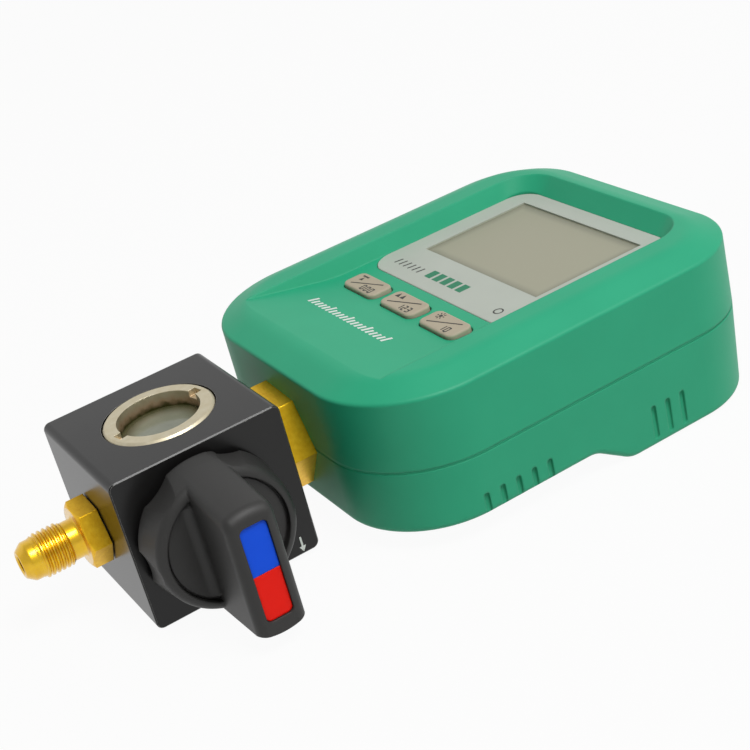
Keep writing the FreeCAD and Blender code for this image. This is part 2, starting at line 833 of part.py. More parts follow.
def parting_ring(z0, z1):
    """The thin shadow groove where the two shells meet."""
    outer = plate(housing_left - 1, housing_right + 1, housing_half_width + 1,
                  near_corner_radius + 1, far_corner_radius + 1, z0, z1)
    inner = plate(housing_left + parting_groove, housing_right - parting_groove,
                  housing_half_width - parting_groove, near_corner_radius - parting_groove,
                  far_corner_radius - parting_groove, z0 - 1, z1 + 1)
    return outer.cut(inner)


def case_form(inset):
    """The case's outer form, or its hollow when inset is the wall."""
    x0 = housing_left + inset
    x1 = housing_right - inset
    half = housing_half_width - inset
    near = near_corner_radius - inset
    far = far_corner_radius - inset
    low = case_deep_height
    body = loft(
        outline(x0, x1 - case_draft / 2, half - case_draft, near - 3, far, low),
        outline(x0, x1, half, near, far, parting_height),
    )
    return body.common(case_side(inset))


def case_side(inset):
    """The case seen from its side: shallow, then deeper under the batteries."""
    shallow = case_floor_height + inset
    deep = case_deep_height + inset
    fall = math.atan((case_floor_height - case_deep_height) / deep_ramp)
    end = deep_start + inset * math.tan(fall / 2)
    right = housing_right - case_draft / 2 - inset
    side = side_profile([
        (housing_left - 1, parting_height + 1),
        (housing_left - 1, shallow),
        (end - deep_ramp, shallow),
        (end, deep),
        (right, deep),
        (right, parting_height + 1),
    ], housing_half_width + 1)
    bends = edges_where(side, lambda e: e.BoundBox.YLength > housing_half_width
                        and end - deep_ramp - 0.1 < e.CenterOfMass.x < end + 0.1)
    side = side.makeFillet(deep_ramp_rounding, bends)
    tail = edges_where(side, lambda e: e.BoundBox.YLength > housing_half_width
                       and abs(e.CenterOfMass.x - right) + abs(e.CenterOfMass.z - deep) < 0.1)
    return side.makeFillet(case_tail_rounding - inset, tail)


def make_case_shell():
    form = case_form(0)
    low_edges = edges_where(form, lambda e: e.BoundBox.ZMax < case_floor_height + 1
                            and e.BoundBox.YLength < 2 * housing_half_width - 2 * near_corner_radius
                            or e.BoundBox.ZMax < case_floor_height + 0.1
                            and e.CenterOfMass.x < housing_left + 1)
    form = form.makeFillet(case_edge_rounding, low_edges)
    return form.cut(case_form(wall))


bay_left = battery_first_x - battery_radius - bay_side_margin
bay_right = battery_first_x + (battery_count - 1) * battery_pitch + battery_radius + bay_side_margin
bay_half_width = battery_length / 2 + battery_nub_length + contact_thickness + bay_end_margin
battery_height = case_deep_height + door_thickness + panel_gap + battery_radius
bay_roof = battery_height + battery_radius + panel_gap


def make_bottom_case():
    case = make_case_shell()
    bay_outer = box(bay_left - bay_wall, bay_right + bay_wall, -bay_half_width - bay_wall,
                    bay_half_width + bay_wall, case_deep_height + 1.0, bay_roof + bay_wall)
    bay_inner = box(bay_left, bay_right, -bay_half_width, bay_half_width,
                    case_deep_height - 1, bay_roof)
    door_room = plate(bay_left - door_lip - panel_gap, bay_right + door_lip + panel_gap,
                      bay_half_width + door_lip + panel_gap, 3, 3,
                      case_deep_height - 1, case_deep_height + door_thickness)
    for x, y in case_screw_points:
        column = rod(boss_radius, (x, y, case_floor(x) + 0.5), (x, y, parting_height))
        case = case.fuse(column)
        case = case.cut(rod(case_screw_radius + 0.3, (x, y, case_deep_height - 1),
                            (x, y, parting_height + 1)))
        case = case.cut(rod(screw_access_radius, (x, y, case_deep_height - 1),
                            (x, y, screw_head_seat(x))))
    case = case.fuse(bay_outer).cut(bay_inner).cut(door_room)
    case = case.cut(rod(coupling_neck_radius + panel_gap, (housing_left - 1, 0, flow_height),
                        (housing_left + wall + 1, 0, flow_height)))
    case = case.cut(parting_ring(parting_height - parting_groove, parting_height))
    return case.cut(make_vents())


def case_floor(x):
    return case_floor_height if x < deep_start - deep_ramp else case_deep_height


def screw_head_seat(x):
    return case_floor(x) + case_screw_head_height + 1.2


def vent(x, z0, z1, side):
    """One blind slot with round ends in a side wall."""
    y_out = side * (housing_half_width + 1)
    y_in = side * (housing_half_width - vent_depth)
    half = vent_width / 2
    slot = box(x - half, x + half, min(y_in, y_out), max(y_in, y_out), z0 + half, z1 - half)
    for z in (z0 + half, z1 - half):
        slot = slot.fuse(rod(half, (x, y_in, z), (x, y_out, z)))
    return slot


def make_vents():
    slots = []
    for side in (-1, 1):
        for x in tall_vent_x:
            slots.append(vent(x, tall_vent_bottom, tall_vent_top, side))
        for index in range(short_vent_count):
            x = short_vent_first_x + short_vent_pitch * index
            slots.append(vent(x, short_vent_bottom, short_vent_top, side))
    return Part.makeCompound(slots)


def make_case_screws():
    screws = []
    for x, y in case_screw_points:
        seat = screw_head_seat(x)
        shank = rod(case_screw_radius, (x, y, seat), (x, y, parting_height + case_screw_bite))
        head = rod(case_screw_head_radius, (x, y, seat - case_screw_head_height), (x, y, seat))
        screws.append(shank.fuse(head))
    return Part.makeCompound(screws)


# Bezel, display and board
def make_bezel():
    bezel = plate(bezel_left, bezel_right, bezel_half_width, bezel_corner_radius,
                  bezel_corner_radius, bezel_bottom, bezel_top)
    view = box(view_left, view_right, -view_half_width, view_half_width, bezel_bottom - 1, bezel_top + 1)
    rim = edges_where(bezel, lambda e: abs(e.CenterOfMass.z - bezel_top) < 0.01)
    return bezel.makeFillet(0.3, rim).cut(view)


def display_layer(margin, z0, z1):
    return box(view_left - margin, view_right + margin, -view_half_width - margin,
               view_half_width + margin, z0, z1)


def make_board():
    board = plate(board_left, board_right, board_half_width, board_near_radius,
                  board_far_radius, board_bottom, board_top)
    for x, y in board_points:
        board = board.cut(rod(board_screw_radius + 0.2, (x, y, board_bottom - 1), (x, y, board_top + 1)))
    return board


def make_board_screws():
    screws = []
    for x, y in board_points:
        head = rod(board_screw_head_radius, (x, y, board_bottom - board_screw_head_height),
                   (x, y, board_bottom))
        shank = rod(board_screw_radius, (x, y, board_bottom), (x, y, board_top + board_screw_bite))
        screws.append(head.fuse(shank))
    return Part.makeCompound(screws)


key_bottom = ceiling - fit_gap - key_flange_thickness


def make_key(y):
    cap = key_blank(y, 0, key_bottom, key_top_height)
    crest = edges_where(cap, lambda e: abs(e.CenterOfMass.z - key_top_height) < 0.01)
    cap = cap.makeFillet(key_top_rounding, crest)
    return cap.fuse(key_blank(y, key_flange, key_bottom, key_bottom + key_flange_thickness))


def make_key_mat():
    reach = key_pitch * (key_count - 1) / 2 + key_size_y / 2 + 1
    mat = box(key_centre_x - key_size_x, key_centre_x + key_size_x, -reach, reach,
              board_top, board_top + mat_thickness)
    dome_top = key_bottom - key_travel - dome_gap
    for y in key_positions():
        dome = taper(dome_radius, dome_radius * 0.7, (key_centre_x, y, board_top + mat_thickness - 0.1),
                     (key_centre_x, y, dome_top))
        mat = mat.fuse(dome)
    return mat


# Batteries, contacts and door
def battery_xs():
    return [battery_first_x + battery_pitch * index for index in range(battery_count)]


def nub_side(index):
    return 1 if index % 2 == 0 else -1


def make_batteries():
    cells = []
    for index, x in enumerate(battery_xs()):
        side = nub_side(index)
        half = battery_length / 2
        cell = rod(battery_radius, (x, -half, battery_height), (x, half, battery_height))
        nub = rod(battery_nub_radius, (x, side * (half - 1), battery_height),
                  (x, side * (half + battery_nub_length), battery_height))
        cells.append(cell.fuse(nub))
    return Part.makeCompound(cells)


def make_contacts():
    leaves = []
    half = contact_size / 2
    for index, x in enumerate(battery_xs()):
        for side in (-1, 1):
            wall_y = side * bay_half_width
            inner_y = side * (bay_half_width - contact_thickness)
            leaf = box(x - half, x + half, min(wall_y, inner_y), max(wall_y, inner_y),
                       battery_height - half, battery_height + half)
            nub = battery_nub_length if side == nub_side(index) else 0
            reach = side * (battery_length / 2 + nub)
            spring = taper(contact_spring_radius, contact_spring_tip_radius,
                           (x, inner_y, battery_height), (x, reach, battery_height))
            leaves.append(leaf.fuse(spring))
    return Part.makeCompound(leaves)


def make_door():
    door = plate(bay_left - door_lip, bay_right + door_lip, bay_half_width + door_lip, 2.7, 2.7,
                 case_deep_height, case_deep_height + door_thickness - 0.1)
    grip_x = (bay_left + bay_right) / 2
    half = door_grip_width / 2
    for index in range(door_grip_count):
        x = grip_x + door_grip_pitch * (index - (door_grip_count - 1) / 2)
        door = door.cut(box(x - half, x + half, -bay_half_width, -bay_half_width + door_grip_length,
                            case_deep_height - 1, case_deep_height + door_grip_depth))
    return door


port_seal = make_port_seal()
save("valve_block", make_valve_block())
save("inlet_flare", place_inlet(make_flare_port(inlet_stub_length)))
save("inlet_seal", place_inlet(port_seal))
save("outlet_flare", place_outlet(make_flare_port(outlet_stub_length)))
save("outlet_seal", place_outlet(port_seal))
save("valve_ball", make_ball())
save("inlet_seat", make_seat(-1))
save("outlet_seat", make_seat(1))
save("valve_stem", make_stem())
save("stem_seals", make_stem_seals())
save("stem_gland", make_gland())
save("stop_pin", stop_pin_bar(stop_pin_radius, block_front - stop_pin_reach,
                              block_front + stop_pin_sink))
save("knob", make_knob())
save("knob_screw", make_knob_screw())
save("knob_insert_blue", insert_blank(0, insert_face, insert_floor, insert_split, 1))
save("knob_insert_red", insert_blank(0, insert_face, insert_floor, -1, insert_split - 0.01))
save("sight_glass_ring", make_ring())
save("sight_glass_lens", make_lens())
save("sight_glass_seal", make_glass_seal())
save("coupling_hex", make_coupling())
save("coupling_locknut", make_locknut())
save("pressure_sensor", make_sensor())
save("sensor_wires", make_sensor_wires())
save("top_cover", make_top_cover())
save("bottom_case", make_bottom_case())
save("case_screws", make_case_screws())
save("display_bezel", make_bezel())
save("display_window", display_layer(view_ledge - fit_gap, window_bottom, bezel_bottom))
save("lcd_panel", display_layer(view_ledge - fit_gap, lcd_bottom, window_bottom))
save("backlight", display_layer(view_ledge - fit_gap, backlight_bottom, lcd_bottom))
save("circuit_board", make_board())
save("board_screws", make_board_screws())
save("key_mat", make_key_mat())
for number, y in enumerate(key_positions(), 1):
    save(f"key_{number}", make_key(y))
save("batteries", make_batteries())
save("battery_contacts", make_contacts())
save("battery_door", make_door())
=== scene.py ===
# %% [markdown]
# # A refrigerant gauge with one valve
#
# The gauge has two halves. On the left is a black aluminium block with a sight glass, a valve knob
# and brass hose ports. On the right is a green plastic housing with a display and three keys. The
# solid model already holds every piece at its real size. This file gives the pieces their finish,
# cuts the fine forms that the solids leave out, such as screw threads, and lights the result.

# %% Open the solid model
import math

import bmesh
import bpy
from mathutils import Matrix, Vector


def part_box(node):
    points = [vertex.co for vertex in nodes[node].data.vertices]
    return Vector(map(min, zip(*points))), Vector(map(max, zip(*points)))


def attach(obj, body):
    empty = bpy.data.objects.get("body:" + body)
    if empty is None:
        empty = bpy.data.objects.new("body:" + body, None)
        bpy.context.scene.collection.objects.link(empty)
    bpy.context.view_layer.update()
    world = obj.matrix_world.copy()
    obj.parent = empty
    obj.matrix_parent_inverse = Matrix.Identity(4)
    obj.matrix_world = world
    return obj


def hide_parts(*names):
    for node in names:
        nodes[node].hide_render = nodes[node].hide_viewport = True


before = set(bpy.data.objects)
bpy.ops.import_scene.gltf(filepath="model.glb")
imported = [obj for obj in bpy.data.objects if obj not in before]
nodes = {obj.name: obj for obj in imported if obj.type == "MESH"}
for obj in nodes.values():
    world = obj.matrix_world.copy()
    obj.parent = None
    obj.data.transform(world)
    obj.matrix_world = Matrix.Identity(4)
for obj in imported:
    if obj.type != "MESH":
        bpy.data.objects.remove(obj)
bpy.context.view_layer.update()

mm = 0.001
print("pieces in the solid model:", len(nodes))

# %% [markdown]
# ## Helpers for materials
#
# A material could be painted by hand or wrapped with a picture. Here each one is worked out from
# formulas instead, because formulas stay sharp at any distance and need no picture files. Colours
# are written the way a colour picker shows them, and one function turns them into the linear
# numbers that light needs. A second function adds one shader node with its settings and links.

# %% Colour and node helpers
def colour(code):
    """A hex colour as linear red, green, blue and alpha."""
    channels = [int(code[i:i + 2], 16) / 255 for i in (1, 3, 5)]
    linear = [c / 12.92 if c <= 0.04045 else ((c + 0.055) / 1.055) ** 2.4 for c in channels]
    return (*linear, 1.0)


def join(material, output, target):
    material.node_tree.links.new(output, target)


def add(material, kind, inputs=None, **settings):
    """Adds a node. An input is either a value or the output of another node."""
    node = material.node_tree.nodes.new(kind)
    for name, value in settings.items():
        setattr(node, name, value)
    for socket, value in (inputs or {}).items():
        if isinstance(value, bpy.types.NodeSocket):
            join(material, value, node.inputs[socket])
        else:
            node.inputs[socket].default_value = value
    return node


def start_material(name, code, roughness, **surface_values):
    """A material with one surface shader, and the place on the piece as its pattern coordinate."""
    material = bpy.data.materials.new(name)
    material.use_nodes = True
    surface = material.node_tree.nodes["Principled BSDF"]
    surface.inputs["Base Color"].default_value = colour(code)
    surface.inputs["Roughness"].default_value = roughness
    for socket, value in surface_values.items():
        surface.inputs[socket.replace("_", " ")].default_value = value
    place = add(material, "ShaderNodeTexCoord").outputs["Object"]
    return material, surface, place


# %% [markdown]
# ## Finishes that repeat
#
# Two kinds of surface cover most of the gauge. Moulded plastic copies the fine sparked grain of its
# steel mould, so light spreads a little and small specks show up close. Turned metal carries rings
# from the tool that cut it: on a flat face they are circles, on a cylinder they are hoops. Both
# could be real bumps in the mesh, but they are finer than a hair, so a bump in the shader is enough.
#
# Real grain is about 0.05 mm wide and real tool marks lie about 0.1 mm apart. That is too fine to
# show from here, so the grain is drawn up to ten times coarser and the marks up to three times.
#
# No real edge is perfectly sharp. A bevel modifier could round them all, but it adds many faces to
# dense solids, so the shader blends the light across each edge over the radius of the real one.

# %% Grain, tool marks and soft edges
def bump_surface(material, surface, height, depth_mm, edge_mm):
    """Bumps of that depth, over edges that are rounded by that radius."""
    edge = add(material, "ShaderNodeBevel", {"Radius": edge_mm * mm}, samples=6)
    bump = add(material, "ShaderNodeBump", {"Height": height, "Distance": depth_mm * mm,
                                            "Strength": 1.0, "Normal": edge.outputs["Normal"]})
    join(material, bump.outputs["Normal"], surface.inputs["Normal"])
    return edge


def moulded_grain(material, surface, place, grain_mm, depth_mm, edge_mm):
    """Fine pits from the mould, as a bump."""
    specks = add(material, "ShaderNodeTexNoise", {"Vector": place, "Scale": 1 / (grain_mm * mm),
                                                  "Detail": 2.0, "Roughness": 0.6})
    return bump_surface(material, surface, specks.outputs["Fac"], depth_mm, edge_mm)


def mottle(material, surface, place, patch_mm, dark, light):
    """Slight changes of colour between two tones, over patches of that size."""
    cloud = add(material, "ShaderNodeTexNoise", {"Vector": place, "Scale": 1 / (patch_mm * mm),
                                                 "Detail": 3.0})
    tones = add(material, "ShaderNodeMix", {"Factor": cloud.outputs["Fac"], "A": colour(dark),
                                            "B": colour(light)}, data_type="RGBA")
    join(material, tones.outputs["Result"], surface.inputs["Base Color"])
    return tones


def tool_rings(material, surface, place, centre, axis, spacing_mm, depth_mm, edge_mm):
    """Cutting marks that circle an axis, counted by height along it plus distance from it."""
    offset = add(material, "ShaderNodeVectorMath", {0: place, 1: centre}, operation="SUBTRACT")
    height = add(material, "ShaderNodeVectorMath", {0: offset.outputs["Vector"], 1: axis},
                 operation="DOT_PRODUCT")
    on_axis = add(material, "ShaderNodeVectorMath", {0: axis, "Scale": height.outputs["Value"]},
                  operation="SCALE")
    across = add(material, "ShaderNodeVectorMath", {0: offset.outputs["Vector"],
                                                    1: on_axis.outputs["Vector"]},
                 operation="SUBTRACT")
    radius = add(material, "ShaderNodeVectorMath", {0: across.outputs["Vector"]}, operation="LENGTH")
    count = add(material, "ShaderNodeMath", {0: height.outputs["Value"], 1: radius.outputs["Value"]})
    marks = add(material, "ShaderNodeTexNoise", {"W": count.outputs["Value"], "Detail": 3.0,
                                                 "Scale": 1 / (spacing_mm * mm)},
                noise_dimensions="1D")
    bump_surface(material, surface, marks.outputs["Fac"], depth_mm, edge_mm)
    return marks


# %% [markdown]
# ## Black anodised aluminium
#
# The block is sawn from aluminium bar, milled, blasted and anodised. The dyed oxide is a hard, thin
# glassy layer, so the block looks black face on and turns grey where it mirrors something bright at
# a low angle. A fairly smooth dark surface gives that. The oxide's own index is about 1.65, but its
# pores and the dye swallow much of the shine, and 1.4 matches the real block. Handling wears the dye
# off the sharp edges first: where the rounded normal leans away from the true one there is an edge,
# and the metal starts to show there.

# %% Anodised block
def make_anodised_aluminium():
    material, surface, place = start_material("black_anodised_aluminium", "#141414", 0.28, IOR=1.4)
    dyed = mottle(material, surface, place, 9.0, "#121213", "#1b1a19")
    edge = moulded_grain(material, surface, place, 0.25, 0.003, 0.12)
    true = add(material, "ShaderNodeNewGeometry")
    lean = add(material, "ShaderNodeVectorMath", {0: edge.outputs["Normal"], 1: true.outputs["Normal"]},
               operation="DOT_PRODUCT")
    rubbed = add(material, "ShaderNodeMapRange", {"Value": lean.outputs["Value"], "From Min": 0.99,
                                                  "From Max": 0.93, "To Min": 0.0, "To Max": 1.0})
    patches = add(material, "ShaderNodeTexNoise", {"Vector": place, "Scale": 1 / (4 * mm)})
    amount = add(material, "ShaderNodeMath", {0: rubbed.outputs["Result"], 1: patches.outputs["Fac"]},
                 operation="MULTIPLY")
    worn = add(material, "ShaderNodeMix", {"Factor": amount.outputs["Value"],
                                           "A": dyed.outputs["Result"], "B": colour("#cfcfca")},
               data_type="RGBA")
    join(material, worn.outputs["Result"], surface.inputs["Base Color"])
    return material


anodised = make_anodised_aluminium()

# %% [markdown]
# ## Brass
#
# Hose ports are turned from free-cutting brass bar. The colour lives in the reflection, so the
# shader is fully metallic, and faint rings from the lathe stretch the highlights round the piece. A
# trace of cutting oil stays on the metal. It is clear, so it mirrors the lamp white, not yellow,
# and a thin coat over the metal gives the same small white glints.
#
# The bar itself is six-sided. Its flats are never cut, and keep the satin skin that the bar got
# when it was drawn through its die, so they are rougher than the turned parts.

# %% Turned and drawn brass
def make_turned_brass(name, centre, axis):
    material, surface, place = start_material(name, "#e2b00c", 0.34, Metallic=1.0, Coat_Weight=0.8,
                                              Coat_Roughness=0.16, Coat_IOR=1.5)
    tool_rings(material, surface, place, centre, axis, 0.12, 0.0015, 0.25)
    mottle(material, surface, place, 3.0, "#d29d06", "#f4ca1c")
    return material


def make_drawn_brass():
    material, surface, place = start_material("drawn_brass", "#efba14", 0.42, Metallic=1.0,
                                              Coat_Weight=0.2, Coat_Roughness=0.3, Coat_IOR=1.5)
    moulded_grain(material, surface, place, 0.5, 0.03, 0.3)
    mottle(material, surface, place, 1.2, "#dca308", "#fbd032")
    return material


def middle(node):
    low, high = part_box(node)
    return (low + high) / 2


inlet_brass = make_turned_brass("turned_brass_inlet", middle("inlet_flare"), (1, 0, 0))
outlet_brass = make_turned_brass("turned_brass_outlet", middle("outlet_flare"), (0, 1, 0))
gland_brass = make_turned_brass("turned_brass_gland", middle("stem_gland"), (0, 1, 0))
drawn_brass = make_drawn_brass()

# %% [markdown]
# ## Nickel plate
#
# The ring that holds the sight glass is turned brass with a thin nickel plate. Nickel is a warm,
# pale grey, and the circles from the facing cut stay visible through the plate. Down in the well
# the wall turns brown and then dark olive towards its foot. The colour therefore follows the height,
# made uneven by patches so that no level line shows.

# %% Plated ring
def blend_by(material, value, start, end, first, second):
    """The first colour up to the start value, the second from the end value on."""
    share = add(material, "ShaderNodeMapRange", {"Value": value, "From Min": start,
                                                 "From Max": end}, interpolation_type="SMOOTHSTEP")
    return add(material, "ShaderNodeMix", {"Factor": share.outputs["Result"], "A": first,
                                           "B": second}, data_type="RGBA").outputs["Result"]


def make_nickel_plate():
    material, surface, place = start_material("nickel_plate", "#ccc4ac", 0.48, Metallic=1.0)
    tool_rings(material, surface, place, middle("sight_glass_ring"), (0, 0, 1), 0.3, 0.012, 0.25)
    top_tones = mottle(material, surface, place, 2.0, "#c0b494", "#d6cfba").outputs["Result"]
    ring_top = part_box("sight_glass_ring")[1].z
    lens_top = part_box("sight_glass_lens")[1].z
    patches = add(material, "ShaderNodeTexNoise", {"Vector": place, "Scale": 1 / (1.6 * mm),
                                                   "Detail": 4.0})
    height = add(material, "ShaderNodeSeparateXYZ", {"Vector": place})
    wander = 2.4 * mm
    uneven = add(material, "ShaderNodeMath", {0: patches.outputs["Fac"], 1: wander,
                                              2: height.outputs["Z"]}, operation="MULTIPLY_ADD")
    shift = wander / 2
    # Deeper in the well the colour turns brown, and near the lens dark olive.
    brown_depth = blend_by(material, uneven.outputs["Value"], ring_top + shift - 0.6 * mm,
                       ring_top + shift - 3.0 * mm, top_tones, colour("#cbae90"))
    olive_foot = blend_by(material, uneven.outputs["Value"], lens_top + shift + 1.8 * mm,
                     lens_top + shift - 0.1 * mm, brown_depth, colour("#5b5930"))
    join(material, olive_foot, surface.inputs["Base Color"])
    return material


nickel = make_nickel_plate()

# %% [markdown]
# ## Glass
#
# The lens is a thick disc of tempered borosilicate glass. Seen from a low angle it looks milky and
# greenish, because the light that enters it comes back from its ground edge. Real glass would only
# show that with very many light bounces, so part of the light is scattered at the surface instead.
# Near the wall the glass is painted darker, a painted reflection of the dark foot of the well. Its
# faces are fire polished, so they are a little wavy, over a couple of millimetres.

# %% Sight glass
def make_sight_glass():
    material, surface, place = start_material("borosilicate_glass", "#8f9480", 0.12, IOR=1.47,
                                              Transmission_Weight=0.3)
    clear = mottle(material, surface, place, 5.0, "#7f846f", "#a0a490").outputs["Result"]
    offset = add(material, "ShaderNodeVectorMath", {0: place, 1: middle("sight_glass_lens")},
                 operation="SUBTRACT")
    across = add(material, "ShaderNodeVectorMath", {0: offset.outputs["Vector"], 1: (1, 1, 0)},
                 operation="MULTIPLY")
    radius = add(material, "ShaderNodeVectorMath", {0: across.outputs["Vector"]}, operation="LENGTH")
    # Painted reflection: towards the wall the colour turns dark olive, like the mirrored foot of the
    # well.
    painted_rim_reflection = blend_by(material, radius.outputs["Value"], 5.5 * mm, 10.3 * mm, clear,
                      colour("#4f4f33"))
    join(material, painted_rim_reflection, surface.inputs["Base Color"])
    moulded_grain(material, surface, place, 2.0, 0.01, 0.2)
    return material


sight_glass = make_sight_glass()

# %% [markdown]
# ## Plastics
#
# The housing, knob and bezel are injection moulded ABS. The knob's black plastic is rougher than
# the block beside it, which is why the two blacks look different in the same light. ABS has an
# index of about 1.53. Its grain scatters part of the shine, so a lower one is closer to the look,
# and lowest for the two inserts, whose strong colours hardly pale at all.

# %% Moulded plastics
def make_moulded_plastic(name, dark, light, roughness, grain_mm=0.3, depth_mm=0.008, edge_mm=0.3,
                         **surface_values):
    material, surface, place = start_material(name, light, roughness, **surface_values)
    mottle(material, surface, place, 14.0, dark, light)
    moulded_grain(material, surface, place, grain_mm, depth_mm, edge_mm)
    return material


green_abs = make_moulded_plastic("green_abs", "#1fa379", "#26ac80", 0.5, edge_mm=0.7, IOR=1.45)
black_abs = make_moulded_plastic("black_abs", "#292928", "#31302f", 0.5, edge_mm=0.6, IOR=1.43)
blue_abs = make_moulded_plastic("blue_abs", "#0652ea", "#0a5af5", 0.4, edge_mm=0.5, IOR=1.3)
red_abs = make_moulded_plastic("red_abs", "#fb1001", "#ff1a02", 0.4, edge_mm=0.5, IOR=1.3)
white_ptfe = make_moulded_plastic("white_ptfe", "#e4e3dc", "#eceae4", 0.4, IOR=1.38)

# %% [markdown]
# ## Bezel
#
# The bezel's face is painted pale grey. The walls of its opening get painted shade instead: the
# display's own grey green, which stands in for the shaded edge of the display, so the display
# seems to lie close below the face.

# %% Bezel
def make_bezel_plastic():
    material, surface, place = start_material("pale_grey_abs", "#b9bfb5", 0.5, IOR=1.45)
    painted = mottle(material, surface, place, 14.0, "#b4bab0", "#bfc5bb").outputs["Result"]
    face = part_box("display_bezel")[1].z
    height = add(material, "ShaderNodeSeparateXYZ", {"Vector": place})
    # The walls below the face get painted shade, in the display's grey green.
    painted_shade_wall = blend_by(material, height.outputs["Z"], face - 0.1 * mm, face - 0.4 * mm, painted,
                    colour("#b9bda9"))
    join(material, painted_shade_wall, surface.inputs["Base Color"])
    moulded_grain(material, surface, place, 0.3, 0.006, 0.2)
    return material


bezel_abs = make_bezel_plastic()

# %% [markdown]
# ## Rubber, display, board and cells
#
# The keys are silicone, pale and matt. The display is a grey polariser film on glass behind an
# acrylic window with a matt, reflection-killing face. That face scatters the light before it gets
# down to the display, so most of what the eye sees lies on the window itself. The sheet therefore
# has the display's own grey and is only partly see-through. Its tone darkens softly over the last few
# millimetres, where the frame keeps light out from under the sheet.

# %% Keys, seals and display
key_rubber = make_moulded_plastic("silicone_keys", "#b3a892", "#bbb09b", 0.6, edge_mm=0.5, IOR=1.41)
seal_rubber = make_moulded_plastic("nitrile_rubber", "#151515", "#1b1b1b", 0.6, IOR=1.52)
lead_rubber = make_moulded_plastic("lead_insulation", "#6d1410", "#7a1a14", 0.5, IOR=1.5)
lcd_polariser = make_moulded_plastic("lcd_polariser", "#a3a28d", "#a8a792", 0.45, IOR=1.49)
board_laminate = make_moulded_plastic("board_laminate", "#0c5a2c", "#0f6632", 0.35, IOR=1.5)
battery_sleeve = make_moulded_plastic("battery_sleeve", "#2e3236", "#363a3f", 0.35, IOR=1.5)


def make_matt_sheet():
    material, surface, place = start_material("matt_acrylic", "#bfbda5", 0.35, IOR=1.49, Alpha=0.7)
    low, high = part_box("display_window")
    offset = add(material, "ShaderNodeVectorMath", {0: place, 1: (low + high) / 2},
                 operation="SUBTRACT")
    away = add(material, "ShaderNodeVectorMath", {0: offset.outputs["Vector"]}, operation="ABSOLUTE")
    inward = add(material, "ShaderNodeVectorMath", {0: (high - low) / 2, 1: away.outputs["Vector"]},
                 operation="SUBTRACT")
    parts = add(material, "ShaderNodeSeparateXYZ", {"Vector": inward.outputs["Vector"]})
    from_edge = add(material, "ShaderNodeMath", {0: parts.outputs["X"], 1: parts.outputs["Y"]},
                    operation="MINIMUM")
    tone = blend_by(material, from_edge.outputs["Value"], 5.5 * mm, 2.0 * mm, colour("#c1bfa7"),
                    colour("#a0a18d"))
    join(material, tone, surface.inputs["Base Color"])
    moulded_grain(material, surface, place, 0.3, 0.002, 0.1)
    return material


def make_stainless_steel():
    material, surface, place = start_material("stainless_steel", "#a9a8a5", 0.3, Metallic=1.0)
    moulded_grain(material, surface, place, 0.2, 0.003, 0.15)
    return material


matt_sheet = make_matt_sheet()
steel = make_stainless_steel()

# %% [markdown]
# ## Giving each piece its material
#
# Each material has a list of the pieces that it covers. The printed line names any piece that none
# of the lists holds.

# %% Dress the pieces
finishes = {
    anodised: ["valve_block"],
    inlet_brass: ["inlet_flare"],
    outlet_brass: ["outlet_flare"],
    drawn_brass: ["coupling_hex", "coupling_locknut"],
    gland_brass: ["stem_gland", "valve_ball"],
    nickel: ["sight_glass_ring", "battery_contacts"],
    sight_glass: ["sight_glass_lens"],
    green_abs: ["top_cover", "bottom_case", "battery_door"],
    black_abs: ["knob"],
    blue_abs: ["knob_insert_blue"],
    red_abs: ["knob_insert_red"],
    bezel_abs: ["display_bezel"],
    white_ptfe: ["inlet_seat", "outlet_seat", "backlight"],
    key_rubber: ["key_1", "key_2", "key_3"],
    seal_rubber: ["inlet_seal", "outlet_seal", "sight_glass_seal", "stem_seals", "key_mat"],
    lead_rubber: ["sensor_wires"],
    lcd_polariser: ["lcd_panel"],
    matt_sheet: ["display_window"],
    board_laminate: ["circuit_board"],
    battery_sleeve: ["batteries"],
    steel: ["valve_stem", "stop_pin", "knob_screw", "pressure_sensor", "case_screws", "board_screws"],
}
for material, names in finishes.items():
    for name in names:
        nodes[name].data.materials.clear()
        nodes[name].data.materials.append(material)
print("undressed:", sorted(set(nodes) - {name for names in finishes.values() for name in names}))

# %% [markdown]
# ## From rows of points to a piece
#
# The pieces that follow could start as ready-made cylinders and blocks that modifiers then cut. Rows
# of points with faces between them need no cutting and give clean meshes, so that is the way used
# here. One helper joins the rows, and another turns the faces into a piece with its materials.

# %% Helpers for pieces
crease = math.radians(32)


def join_rows(shape, rows, closed=True):
    """Faces between each row and the next. A closed row comes back to its first point."""
    faces = []
    for row, following in zip(rows, rows[1:]):
        for i in range(len(row) if closed else len(row) - 1):
            j = (i + 1) % len(row)
            faces.append(shape.faces.new((row[i], row[j], following[j], following[i])))
    return faces


def make_piece(name, shape, *materials, smooth=True):
    """An object from the finished faces. A smooth one keeps the creases sharp."""
    mesh = bpy.data.meshes.new(name)
    shape.to_mesh(mesh)
    shape.free()
    if smooth:
        mesh.shade_smooth()
        mesh.set_sharp_from_angle(angle=crease)
    for material in materials:
        mesh.materials.append(material)
    piece = bpy.data.objects.new(name, mesh)
    bpy.context.scene.collection.objects.link(piece)
    return piece


# %% [markdown]
# ## Flare ports with real threads
#
# The male port is one turned piece: a hexagon for the spanner, a neck, a 7/16 inch thread, a nose
# and a cone that seals against the hose. The solid model keeps the thread as a plain cylinder. A
# bump in a shader would leave the outline smooth, and the outline is where a thread is seen best.
# So the port is built as a stack of rings of points. Each ring knows its place along the axis, and
# a formula gives the radius at each angle. The thread's formula also counts the angle, which turns
# rings into a helix.

# %% Profile of the port
pitch = 25.4 / 20
thread_crest = 5.55
thread_root = 5.02
bore_radius = 2.3
nose_radius = 4.9
neck_radius = 4.88
spigot_radius = 6.2
face_radius = 6.6
recess_radius = 7.4
hexagon_reach = 7.5
hexagon_turn = math.radians(5)
ring_points = 72

hexagon_end = -0.6
chamfer_end = -4.4
hexagon_start = -5.4
neck_start = -8.6
thread_start = -16.2
shoulder = -19.2
tip = -20.4


